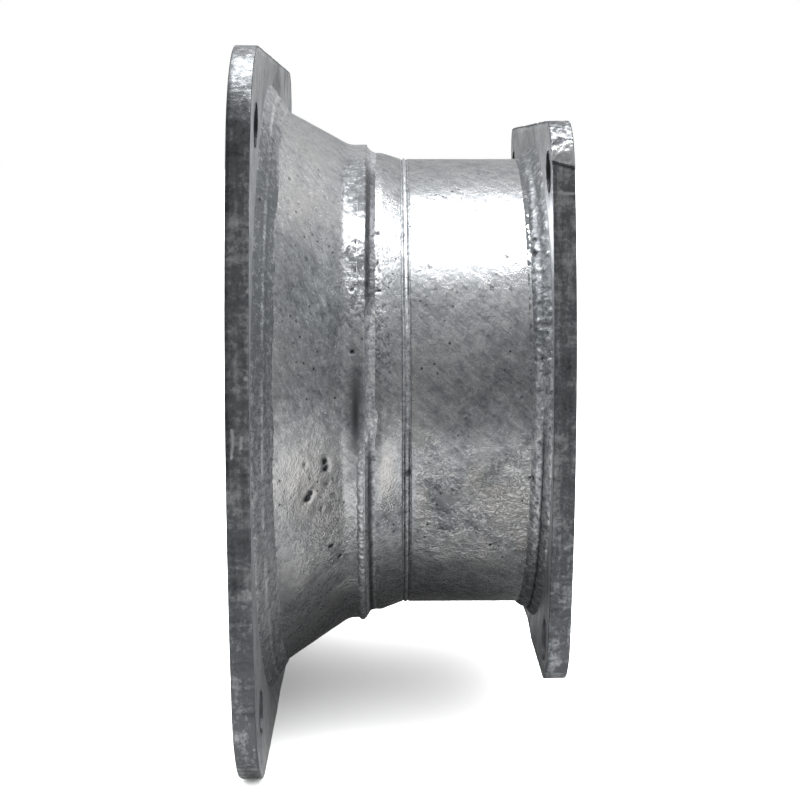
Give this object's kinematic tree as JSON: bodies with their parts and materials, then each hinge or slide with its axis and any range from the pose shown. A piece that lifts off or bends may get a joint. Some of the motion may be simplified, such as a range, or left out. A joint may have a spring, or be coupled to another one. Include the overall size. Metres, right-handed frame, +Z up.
{
  "type": "eccentric reducer",
  "caption": "Galvanised steel eccentric pipe reducer with square bolted flanges, joining a larger round pipe to a smaller one with their walls in line on one side.",
  "frame": {"origin": "centre of the large opening, on the outer face of the large flange", "axes": "+X along the flow, from the large end to the small end; +Z up; +Y towards the side where the wall runs straight"},
  "size_m": [0.147, 0.31, 0.31],
  "materials": {
    "galvanised_plate": "hot-dip galvanised plate with a flame-cut rim, dull grey, mottled, with zinc runs",
    "galvanised_shell": "hot-dip galvanised sheet and pipe, satin grey, mottled, with ash marks and lumps",
    "galvanised_weld": "rough hand-laid weld bead under hot-dip zinc"
  },
  "bodies": {
    "root": {"large_flange": "galvanised_plate", "large_flange_face_weld": "galvanised_weld", "large_flange_back_weld": "galvanised_weld", "large_cone": "galvanised_shell", "cone_seam_weld": "galvanised_weld", "lap_weld": "galvanised_weld", "short_cone": "galvanised_shell", "neck_weld": "galvanised_weld", "outlet_pipe": "galvanised_shell", "small_flange_back_weld": "galvanised_weld", "small_flange": "galvanised_plate", "small_flange_face_weld": "galvanised_weld"}
  },
  "joints": []
}
